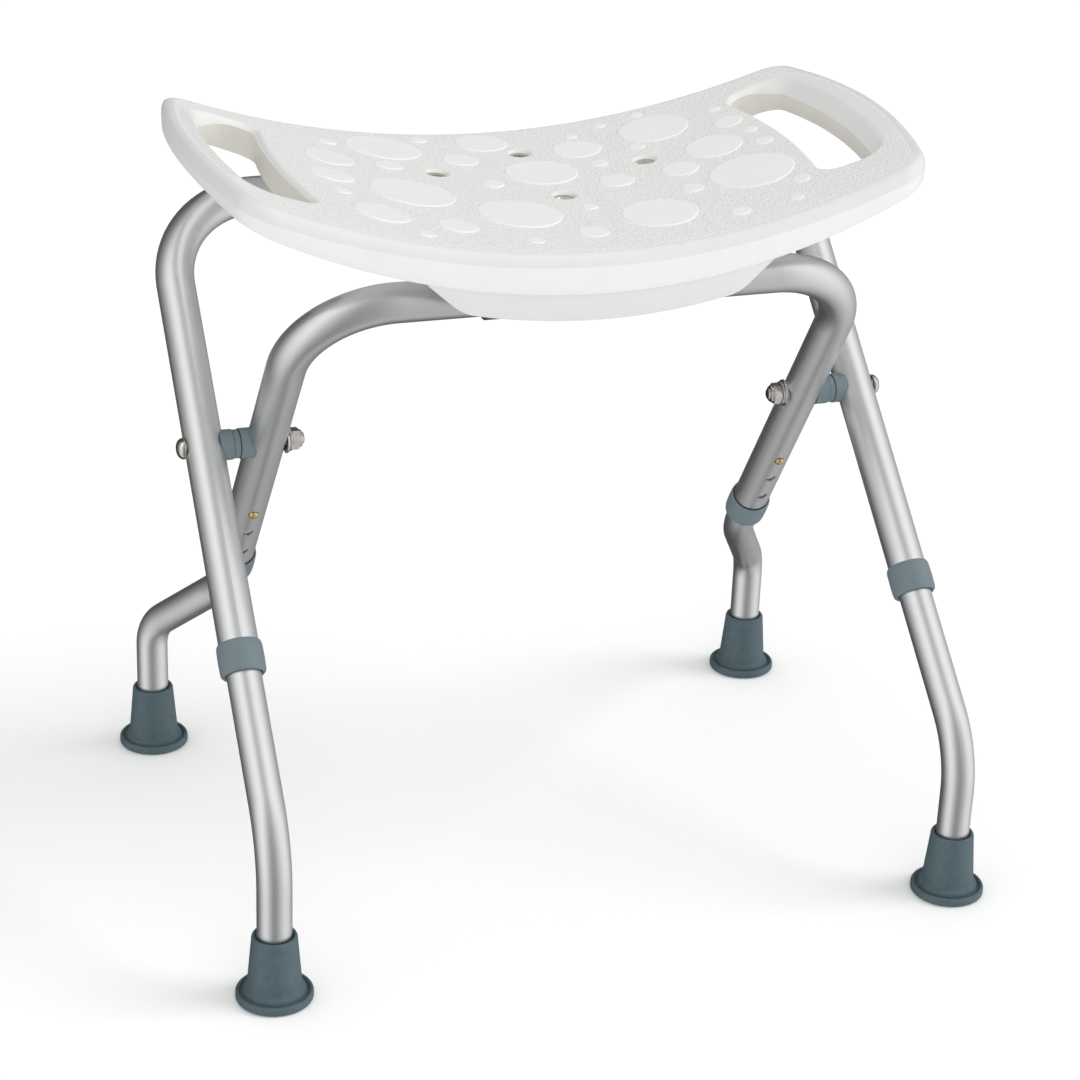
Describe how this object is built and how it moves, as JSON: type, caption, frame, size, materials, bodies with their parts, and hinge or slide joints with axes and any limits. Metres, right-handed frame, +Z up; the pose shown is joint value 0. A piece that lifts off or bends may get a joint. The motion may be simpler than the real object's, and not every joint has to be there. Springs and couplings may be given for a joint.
{
  "type": "shower stool",
  "caption": "Folding shower stool: curved white plastic seat with a hand opening at each end, on two crossed aluminium tube frames with height-adjustable legs and rubber feet.",
  "frame": {"origin": "on the floor, midway between the four feet, at the middle of the bounding box's underside", "axes": "+Z up, +X along the seat's length to the stool's right, +Y to the back; the inner frame's crossbar is at the front, -Y"},
  "size_m": [0.517, 0.402, 0.4947],
  "materials": {
    "white_plastic": "pebbled field with smooth raised discs and rim",
    "aluminium": "satin anodised",
    "blue_grey_rubber": "matt",
    "blue_grey_plastic": "semi-matt",
    "brass": "polished",
    "spring_steel": "bare",
    "nickel_plated_steel": "bright plated",
    "zinc_plated_steel": "satin plated"
  },
  "bodies": {
    "outer_frame": {"outer_frame_tube": "aluminium", "collar_front_left": "blue_grey_plastic", "collar_front_right": "blue_grey_plastic", "pivot_bolt_left": "nickel_plated_steel", "pivot_bolt_right": "nickel_plated_steel", "pivot_nut_left": "nickel_plated_steel", "pivot_nut_right": "nickel_plated_steel", "nut_washer_left": "nickel_plated_steel", "nut_washer_right": "nickel_plated_steel", "spacer_barrel_left": "blue_grey_plastic", "spacer_barrel_right": "blue_grey_plastic", "outer_saddle_left": "blue_grey_plastic", "outer_saddle_right": "blue_grey_plastic"},
    "inner_frame": {"inner_frame_tube": "aluminium", "collar_back_left": "blue_grey_plastic", "collar_back_right": "blue_grey_plastic", "inner_saddle_left": "blue_grey_plastic", "inner_saddle_right": "blue_grey_plastic", "nut_saddle_left": "nickel_plated_steel", "nut_saddle_right": "nickel_plated_steel"},
    "seat": {"seat": "white_plastic", "hinge_strap_left": "zinc_plated_steel", "hinge_strap_right": "zinc_plated_steel", "strap_screws": "zinc_plated_steel"},
    "leg_front_left": {"leg_front_left": "aluminium", "foot_front_left": "blue_grey_rubber", "snap_spring_front_left": "spring_steel"},
    "button_front_left": {"snap_button_front_left": "brass"},
    "leg_front_right": {"leg_front_right": "aluminium", "foot_front_right": "blue_grey_rubber", "snap_spring_front_right": "spring_steel"},
    "button_front_right": {"snap_button_front_right": "brass"},
    "leg_back_left": {"leg_back_left": "aluminium", "foot_back_left": "blue_grey_rubber", "snap_spring_back_left": "spring_steel"},
    "button_back_left": {"snap_button_back_left": "brass"},
    "leg_back_right": {"leg_back_right": "aluminium", "foot_back_right": "blue_grey_rubber", "snap_spring_back_right": "spring_steel"},
    "button_back_right": {"snap_button_back_right": "brass"}
  },
  "joints": [
    {"name": "frame_fold", "type": "hinge", "parent": "outer_frame", "child": "inner_frame", "pos_m": [0, 0.017, 0.2934], "axis": [-1, 0, 0], "range_deg": [0, 53]},
    {"name": "seat_tilt", "type": "hinge", "parent": "inner_frame", "child": "seat", "pos_m": [0, -0.06152, 0.40894], "axis": [1, 0, 0], "range_deg": [0, 124.1]},
    {"name": "leg_front_left_adjust", "type": "slide", "parent": "outer_frame", "child": "leg_front_left", "axis": [-0.0141, -0.7168, -0.6971], "range_m": [0, 0.046], "deforming": ["snap_button_front_left"]},
    {"name": "button_front_left_press", "type": "slide", "parent": "leg_front_left", "child": "button_front_left", "axis": [0, -0.6972, 0.7169], "range_m": [0, 0.0036], "stiffness_N_per_m": 2000, "deforming": ["snap_spring_front_left"]},
    {"name": "leg_front_right_adjust", "type": "slide", "parent": "outer_frame", "child": "leg_front_right", "axis": [0.0141, -0.7168, -0.6971], "range_m": [0, 0.046], "deforming": ["snap_button_front_right"]},
    {"name": "button_front_right_press", "type": "slide", "parent": "leg_front_right", "child": "button_front_right", "axis": [0, -0.6972, 0.7169], "range_m": [0, 0.0036], "stiffness_N_per_m": 2000, "deforming": ["snap_spring_front_right"]},
    {"name": "leg_back_left_adjust", "type": "slide", "parent": "inner_frame", "child": "leg_back_left", "axis": [-0.0216, 0.562, -0.8269], "range_m": [0, 0.046], "deforming": ["snap_button_back_left"]},
    {"name": "button_back_left_press", "type": "slide", "parent": "leg_back_left", "child": "button_back_left", "axis": [0, 0.8271, 0.5621], "range_m": [0, 0.0036], "stiffness_N_per_m": 2000, "deforming": ["snap_spring_back_left"]},
    {"name": "leg_back_right_adjust", "type": "slide", "parent": "inner_frame", "child": "leg_back_right", "axis": [0.0216, 0.562, -0.8269], "range_m": [0, 0.046], "deforming": ["snap_button_back_right"]},
    {"name": "button_back_right_press", "type": "slide", "parent": "leg_back_right", "child": "button_back_right", "axis": [0, 0.8271, 0.5621], "range_m": [0, 0.0036], "stiffness_N_per_m": 2000, "deforming": ["snap_spring_back_right"]}
  ],
  "couplings": [
    {"joint": "seat_tilt", "follows": "frame_fold", "ratio": 2.34}
  ]
}
